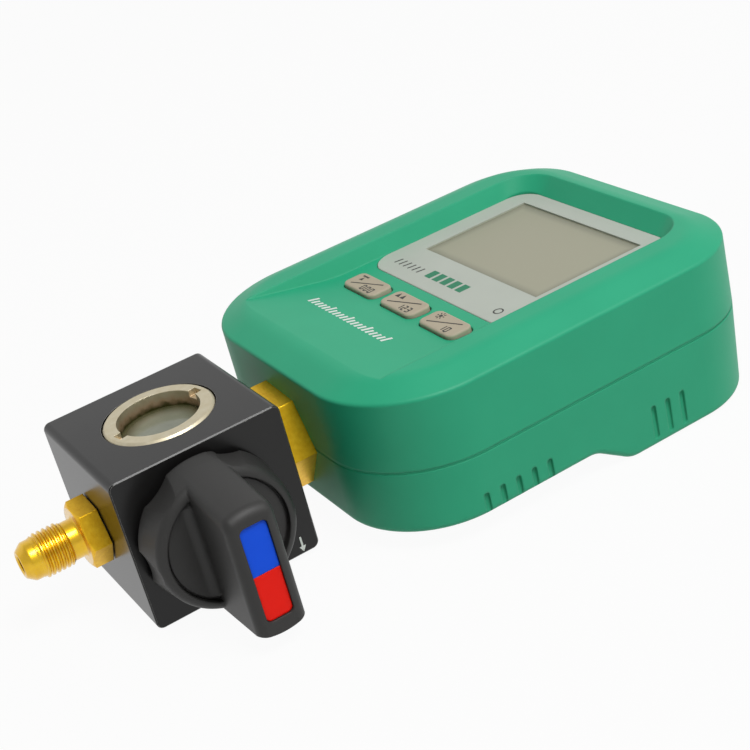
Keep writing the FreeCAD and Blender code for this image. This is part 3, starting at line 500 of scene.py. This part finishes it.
def hexagon_radius(place, angle):
    """Distance to the flats, turned down to a cone at the outer face."""
    step = math.radians(60)
    across = (angle - hexagon_turn) % step - step / 2
    cone = hexagon_reach - 0.1 + (place - hexagon_start) * math.tan(math.radians(62))
    return min(hexagon_reach / math.cos(across), cone)


def thread_radius(place, angle):
    """A ridge that climbs one pitch in each turn and fades out at both ends of the thread."""
    turn = (place / pitch + angle / (2 * math.pi)) % 1
    ridge = min(max((0.4 - abs(turn - 0.5)) / 0.25, 0), 1)
    from_end = min(place - thread_start, neck_start - place)
    ridge *= min(max(from_end / (0.5 * pitch), 0), 1)
    return thread_root + (thread_crest - thread_root) * ridge


def even_steps(first, last, count):
    return [first + (last - first) * i / count for i in range(count + 1)]


# %% [markdown]
# The rings run from the bore in the tip, over the cone, nose, thread, neck and hexagon, and into
# the block. Sharp corners of the profile get a small quarter round, as the lathe tool's own tip
# leaves one. The back of the hexagon is hollowed to hold the sealing washer.

# %% Rings of the port
def round_corner(centre_place, centre_radius, size, first_degrees, last_degrees, count=6):
    """Points of an arc in the profile. The angle is counted from the axis direction."""
    arc = []
    for turn in even_steps(math.radians(first_degrees), math.radians(last_degrees), count):
        arc.append((centre_place + size * math.cos(turn), centre_radius + size * math.sin(turn)))
    return arc


def port_rings(spigot_end):
    rings = [(spigot_end, bore_radius), (tip + 0.35, bore_radius)]
    rings += round_corner(tip + 0.7, bore_radius + 0.7, 0.7, 205, 135)
    rings += round_corner(shoulder + 1.2, nose_radius - 1.2, 1.2, 135, 90)
    rings += [(thread_start - 0.35, nose_radius), (thread_start - 0.2, thread_root)]
    rings += [(place, thread_radius) for place in even_steps(thread_start, neck_start, 72)]
    rings += [(neck_start + 0.1, neck_radius)]
    rings += round_corner(hexagon_start - 0.7, neck_radius + 0.7, 0.7, -90, 0)
    rings += [(hexagon_start, face_radius), (hexagon_start, hexagon_radius)]
    rings += [(place, hexagon_radius)
              for place in even_steps(hexagon_start + 0.08, chamfer_end, 12)]
    rings += [(hexagon_end + 0.35, hexagon_radius), (hexagon_end + 0.4, recess_radius)]
    rings += [(hexagon_end, recess_radius - 0.02)]
    rings += [(hexagon_end, spigot_radius), (spigot_end, spigot_radius), (spigot_end, bore_radius)]
    return rings


def build_port(name, node, turned, spigot_end, placement):
    shape = bmesh.new()
    rings = port_rings(spigot_end)
    rows = []
    for place, radius in rings:
        row = []
        for i in range(ring_points):
            angle = 2 * math.pi * i / ring_points
            reach = radius(place, angle) if callable(radius) else radius
            spot = Vector((place, reach * math.cos(angle), reach * math.sin(angle))) * mm
            row.append(shape.verts.new(placement @ spot))
        rows.append(row)
    on_flats = [radius is hexagon_radius for place, radius in rings]
    for i, face in enumerate(join_rows(shape, rows)):
        band = i // ring_points
        face.material_index = int(on_flats[band] and on_flats[band + 1])
    bmesh.ops.remove_doubles(shape, verts=shape.verts, dist=0.001 * mm)
    bmesh.ops.recalc_face_normals(shape, faces=shape.faces)
    port = make_piece(name, shape, turned, drawn_brass)
    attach(port, "gauge")
    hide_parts(node)
    print(name, "faces:", len(port.data.polygons))


# %% Both ports
block_low, block_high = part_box("valve_block")
flow_height = middle("inlet_flare").z
inlet_end = (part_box("inlet_flare")[1].x - block_low.x) / mm
outlet_end = (block_high.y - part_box("outlet_flare")[0].y) / mm
inlet_place = Matrix.Translation((block_low.x, 0, flow_height))
outlet_place = (Matrix.Translation((middle("outlet_flare").x, block_high.y, flow_height))
                @ Matrix.Rotation(-math.pi / 2, 4, "Z"))
build_port("inlet_port", "inlet_flare", inlet_brass, inlet_end, inlet_place)
build_port("outlet_port", "outlet_flare", outlet_brass, outlet_end, outlet_place)

# %% [markdown]
# ## Tongue in the joint of the housing
#
# The two shells meet in a shallow groove. On the real housing a tongue of the lower shell stands up
# inside the upper one and closes the joint, so it shows as a faint line and not as a dark gap. The
# tongue is a thin band that follows the rounded plan of the housing, just inside the surface.

# %% Tongue
def rounded_plan(low, high, near_radius, far_radius, inset, count=16):
    """The plan outline, inset by that much, with its own radius at the near and far corners."""
    corners = [(high.x, low.y, far_radius, -90), (high.x, high.y, far_radius, 0),
               (low.x, high.y, near_radius, 90), (low.x, low.y, near_radius, 180)]
    outline = []
    for x, y, radius, first in corners:
        centre_x = x - math.copysign(radius, x - (low.x + high.x) / 2)
        centre_y = y - math.copysign(radius, y)
        for turn in even_steps(math.radians(first), math.radians(first + 90), count):
            outline.append((centre_x + (radius - inset) * math.cos(turn),
                            centre_y + (radius - inset) * math.sin(turn)))
    return outline


def build_tongue():
    low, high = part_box("bottom_case")
    joint = high.z
    near_radius = 27 * mm
    far_radius = 22 * mm
    inset = 0.08 * mm
    depth = 1.0 * mm
    reach = 0.35 * mm
    outside = rounded_plan(low, high, near_radius, far_radius, inset)
    inside = rounded_plan(low, high, near_radius, far_radius, inset + depth)
    levels = [(inside, joint - reach), (outside, joint - reach), (outside, joint + reach),
              (inside, joint + reach)]
    shape = bmesh.new()
    rows = [[shape.verts.new((x, y, z)) for x, y in outline] for outline, z in levels]
    join_rows(shape, rows + rows[:1])
    bmesh.ops.recalc_face_normals(shape, faces=shape.faces)
    tongue = make_piece("case_tongue", shape, green_abs)
    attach(tongue, "gauge")
    length = sum(math.dist(a, b) for a, b in zip(outside, outside[1:] + outside[:1]))
    print("tongue length in mm:", round(length / mm))


build_tongue()

# %% [markdown]
# ## Window of the display
#
# The solid model has the window as a flat sheet under the bezel. The moulded part is stepped: a pad
# stands up through the opening and ends half a millimetre below the bezel's face, so that dirt has
# no deep corner to collect in. It is two rectangles drawn up in levels, like the tongue.

# %% Stepped window
def level(low_x, high_x, half_width, height):
    return [Vector((x, y, height)) for x, y in ((low_x, -half_width), (high_x, -half_width),
                                                (high_x, half_width), (low_x, half_width))]


def build_window():
    low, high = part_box("display_window")
    ledge = 2.1 * mm
    clearance = 0.03 * mm
    pad_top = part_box("display_bezel")[1].z - 0.5 * mm
    step = ledge + clearance
    sheet = [low.x, high.x, high.y]
    pad = [low.x + step, high.x - step, high.y - step]
    levels = [level(*sheet, low.z), level(*sheet, high.z), level(*pad, high.z), level(*pad, pad_top)]
    shape = bmesh.new()
    rows = [[shape.verts.new(corner) for corner in corners] for corners in levels]
    shape.faces.new(rows[0])
    shape.faces.new(rows[-1])
    join_rows(shape, rows)
    bmesh.ops.recalc_face_normals(shape, faces=shape.faces)
    window = make_piece("stepped_window", shape, matt_sheet, smooth=False)
    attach(window, "gauge")
    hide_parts("display_window")
    print("window step in mm:", round((pad_top - high.z) / mm, 2))


build_window()

# %% [markdown]
# ## Printed marks
#
# Marks are pad printed: a soft silicone pad picks ink from an etched plate and presses it on. The
# ink is one or two hundredths of a millimetre thick. A picture could carry the marks, but small
# flat polygons that lie just above the surface keep crisp edges and ride with the piece they mark.
# The signs here are plain geometric ones.

# %% Ink
def make_ink(name, code):
    material, surface, place = start_material(name, code, 0.5, IOR=1.5)
    moulded_grain(material, surface, place, 0.15, 0.004, 0.05)
    return material


dark_ink = make_ink("dark_pad_ink", "#262722")
white_ink = make_ink("white_pad_ink", "#e6ece6")
green_ink = make_ink("green_pad_ink", "#0f7a55")


def top_of(node):
    return Vector((0, 0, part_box(node)[1].z))


# %% Strokes and signs
def bar(start, end, width):
    """A straight stroke between two points, as four corners."""
    start, end = Vector(start), Vector(end)
    side = (end - start).orthogonal().normalized() * width / 2
    return [start + side, start - side, end - side, end + side]


def disc(centre, radius, count=20):
    turns = [2 * math.pi * i / count for i in range(count)]
    return [Vector(centre) + radius * Vector((math.cos(t), math.sin(t))) for t in turns]


def ring(centre, radius, width, count=20):
    """A thin circle, as a chain of strokes."""
    outline = disc(centre, radius, count)
    return [bar(a, b, width) for a, b in zip(outline, outline[1:] + outline[:1])]


def triangle(centre, size):
    x, y = centre
    return [Vector((x - size, y - size)), Vector((x + size, y - size)), Vector((x, y + size))]


def numeral(digit, centre, height, width=0.38):
    """A plain digit of up to seven straight strokes."""
    half, side = height / 2, height / 4
    top, middle_line, foot = half, 0, -half
    strokes = {"top": ((-side, top), (side, top)), "mid": ((-side, middle_line), (side, middle_line)),
               "low": ((-side, foot), (side, foot)), "ul": ((-side, top), (-side, middle_line)),
               "ur": ((side, top), (side, middle_line)), "ll": ((-side, middle_line), (-side, foot)),
               "lr": ((side, middle_line), (side, foot))}
    used = {0: "top low ul ur ll lr", 1: "ur lr", 2: "top ur mid ll low", 3: "top ur mid lr low"}
    shift = Vector(centre)
    return [bar(shift + Vector(strokes[name][0]), shift + Vector(strokes[name][1]), width)
            for name in used[digit].split()]


def print_marks(name, shapes, corner, right, up, finish, node, body):
    """Shapes in millimetres on the plane through a corner, laid down on the node's surface."""
    right, up = Vector(right), Vector(up)
    out = right.cross(up)
    start_height = 3 * mm
    ink_gap = 0.02 * mm
    shape = bmesh.new()
    for outline in shapes:
        corners = []
        for point in outline:
            above = corner + (right * point.x + up * point.y) * mm + out * start_height
            found, spot, _, _ = nodes[node].ray_cast(above, -out)
            corners.append(shape.verts.new((spot if found else above) + out * ink_gap))
        shape.faces.new(corners)
    bmesh.ops.recalc_face_normals(shape, faces=shape.faces)
    marks = make_piece(name, shape, finish, smooth=False)
    film = marks.modifiers.new("ink_thickness", "SOLIDIFY")
    film.thickness = 0.015 * mm
    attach(marks, body)
    print(name, "shapes:", len(shapes))


# %% [markdown]
# Each key has a slanted line with one sign before it and plain digits behind it. The user reads
# them with the far end of the housing up, so the reading direction is the negative Y axis.

# %% Marks on the keys
reading = (0, -1, 0)
upwards = (1, 0, 0)
slash = bar((-5.0, -2.1), (5.0, 2.1), 0.42)


def number_row(digits, first, spacing, height):
    row = []
    for i, digit in enumerate(digits):
        row += numeral(digit, (first[0] + i * spacing, first[1]), height)
    return row


sun_centre = Vector((-3.9, 1.5))
sun = disc(sun_centre, 0.55)
rays = [bar(sun_centre + spoke * 0.8, sun_centre + spoke * 1.45, 0.32)
        for spoke in disc((0, 0), 1, 8)]
key_signs = {
    "key_1": [sun, *rays, *number_row([1, 0], (1.8, -1.7), 2.0, 2.0)],
    "key_2": [triangle((-4.9, 1.6), 0.9), triangle((-2.8, 1.6), 0.9),
              *number_row([1, 2, 3], (0.9, -1.7), 1.9, 2.0)],
    "key_3": [bar((-5.2, 2.1), (-2.4, 2.1), 0.6), triangle((-3.8, 0.9), 0.75),
              *number_row([0, 0, 0], (0.9, -1.7), 1.9, 2.0)],
}
key_bodies = {"key_1": "key_one", "key_2": "key_two", "key_3": "key_three"}
for key, signs in key_signs.items():
    print_marks(key + "_marks", [slash, *signs], middle(key) * Vector((1, 1, 0)) + top_of(key),
                reading, upwards, dark_ink, key, key_bodies[key])

# %% [markdown]
# The bezel has a row of green blocks below the window, short dark strokes beside them and a small
# ring in its corner. The cover has a plain white scale where it slopes down to the block, and the
# block a small white arrow beside the knob.

# %% Marks on bezel, cover and block
bezel_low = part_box("display_bezel")[0]
strip = Vector((bezel_low.x, 0, 0)) + top_of("display_bezel")
block_places = [-9.8 + 3.6 * i for i in range(5)]
blocks = [bar((place, 4.7), (place, 8.3), 2.6) for place in block_places]
print_marks("bezel_blocks", blocks, strip, reading, upwards, green_ink, "display_bezel", "gauge")
stroke_places = [-26 + 2.2 * i for i in range(6)]
strokes = [bar((place, 4.7), (place + 0.5, 7.3), 0.55) for place in stroke_places]
corner_ring = ring((23.4, 4.6), 1.2, 0.42)
print_marks("bezel_strokes", strokes + corner_ring, strip, reading, upwards, dark_ink,
            "display_bezel", "gauge")

slope_start = Vector((54.2 * mm, 0, 0)) + top_of("top_cover")
scale = []
for i in range(21):
    place = -22.5 + 1.85 * i
    scale.append(bar((place, 0), (place + 0.5, 3.1 if i % 5 == 0 else 2.2), 0.95))
print_marks("cover_scale", scale, slope_start, reading, upwards, white_ink, "top_cover", "gauge")

arrow = [bar((0, 4.4), (0, 1.6), 0.5), [Vector((-0.9, 1.8)), Vector((0.9, 1.8)), Vector((0, 0.2))]]
arrow_corner = Vector((17.6 * mm, block_low.y, 0.4 * mm))
print_marks("block_arrow", arrow, arrow_corner, (1, 0, 0), (0, 0, 1), white_ink, "valve_block",
            "gauge")

# %% [markdown]
# ## What counts as seen
#
# Pure white paper would throw so much light back that the green would look washed out. So the floor
# and the world are brighter to the eye than to the gauge: one value picks out the light paths that
# end in the camera, in a mirror or behind something clear, and only those see the white.

# %% Seen paths
def seen_paths(material):
    path = add(material, "ShaderNodeLightPath")
    mirrored = add(material, "ShaderNodeMath", {0: path.outputs["Is Glossy Ray"],
                                                1: path.outputs["Is Transmission Ray"]},
                   operation="MAXIMUM")
    return add(material, "ShaderNodeMath", {0: path.outputs["Is Camera Ray"],
                                            1: mirrored.outputs["Value"]},
               operation="MAXIMUM").outputs["Value"]


# %% [markdown]
# ## Floor, light and camera
#
# The gauge lies on the flat under its batteries and on the block's lower left edge, so the floor
# leans by a degree and a half against the model's own level. Behind the gauge the floor turns up
# into a pale backdrop, as in a photo studio. The camera doesn't see it, but the flat metal does:
# without something bright to mirror, the nickel ring would look black.

# %% Floor and backdrop
def make_floor():
    case_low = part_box("bottom_case")[0]
    flat_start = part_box("battery_door")[0].x
    lean = math.atan((block_low.z - case_low.z) / (flat_start - block_low.x))
    reach = 20.0
    backdrop = 1.1
    backdrop_height = 1.4
    curve = 0.3
    curve_steps = 12
    profile = [(-reach, 0.0), (backdrop - curve, 0.0)]
    for turn in even_steps(0, math.pi / 2, curve_steps)[1:]:
        profile.append((backdrop - curve + curve * math.sin(turn), curve - curve * math.cos(turn)))
    profile.append((backdrop, backdrop_height))
    shape = bmesh.new()
    rows = [[shape.verts.new((x, y, z)) for x in (-reach, reach)] for y, z in profile]
    join_rows(shape, rows, closed=False)
    floor = make_piece("floor", shape, make_floor_paint())
    floor.location = (flat_start, 0, case_low.z - 0.05 * mm)
    floor.rotation_euler = (0, lean, 0)
    print("floor leans by", round(math.degrees(lean), 2), "degrees")


def make_floor_paint():
    """Matt pale paint, and plain white for most of what the camera, metal and glass see of it."""
    material, surface, place = start_material("pale_floor", "#c4c4c2", 0.9)
    share = add(material, "ShaderNodeMath", {0: seen_paths(material), 1: 0.95},
                operation="MULTIPLY")
    white = add(material, "ShaderNodeEmission", {"Color": (1, 1, 1, 1), "Strength": 1.0})
    blend = add(material, "ShaderNodeMixShader", {0: share.outputs["Value"],
                                                  1: surface.outputs["BSDF"],
                                                  2: white.outputs["Emission"]})
    output = material.node_tree.nodes["Material Output"]
    join(material, blend.outputs["Shader"], output.inputs["Surface"])
    return material


make_floor()

# %% [markdown]
# One soft lamp hangs above and a little in front, so that the near edge of the block's top catches
# a thin bright line. A weak, wide one fills in from the right. The world adds an even glow.

# %% World and lamps
def make_world():
    world = bpy.data.worlds.new("studio")
    bpy.context.scene.world = world
    world.use_nodes = True
    background = world.node_tree.nodes["Background"]
    background.inputs["Color"].default_value = (1, 1, 1, 1)
    strength = add(world, "ShaderNodeMapRange", {"Value": seen_paths(world), "To Min": 0.25,
                                                 "To Max": 0.65})
    join(world, strength.outputs["Result"], background.inputs["Strength"])


def add_lamp(name, place, target, size, power):
    lamp = bpy.data.lights.new(name, "AREA")
    lamp.size = size
    lamp.energy = power
    holder = bpy.data.objects.new(name, lamp)
    holder.location = place
    holder.rotation_euler = (Vector(target) - Vector(place)).to_track_quat("-Z", "Y").to_euler()
    bpy.context.scene.collection.objects.link(holder)


make_world()
add_lamp("overhead", (0.2, -0.46, 0.9), (0.04, 0, 0.02), 0.4, 7.0)
add_lamp("right_fill", (0.9, -0.5, 0.5), (0.06, 0, 0.02), 0.8, 1.2)

# %% [markdown]
# ## Camera
#
# The photograph was taken a little above the gauge, from in front of the knob, with the camera
# tipped sideways. Its place was found by fitting the edges of the block and the housing.

# %% Camera
def make_camera():
    view = bpy.data.cameras.new("photo_camera")
    view.lens = 77.7
    view.sensor_width = 36.0
    view.clip_start = 0.01
    camera = bpy.data.objects.new("photo_camera", view)
    heading = math.radians(24.217)
    nod = math.radians(-27.113)
    tilt = math.radians(14.845)
    turn = Matrix.Rotation(-heading, 4, "Z")
    turn = turn @ Matrix.Rotation(math.pi / 2 + nod, 4, "X") @ Matrix.Rotation(-tilt, 4, "Z")
    camera.matrix_world = Matrix.Translation((-92.51 * mm, -332.56 * mm, 210.09 * mm)) @ turn
    bpy.context.scene.collection.objects.link(camera)
    bpy.context.scene.camera = camera


make_camera()
bpy.context.scene.view_settings.view_transform = "Standard"
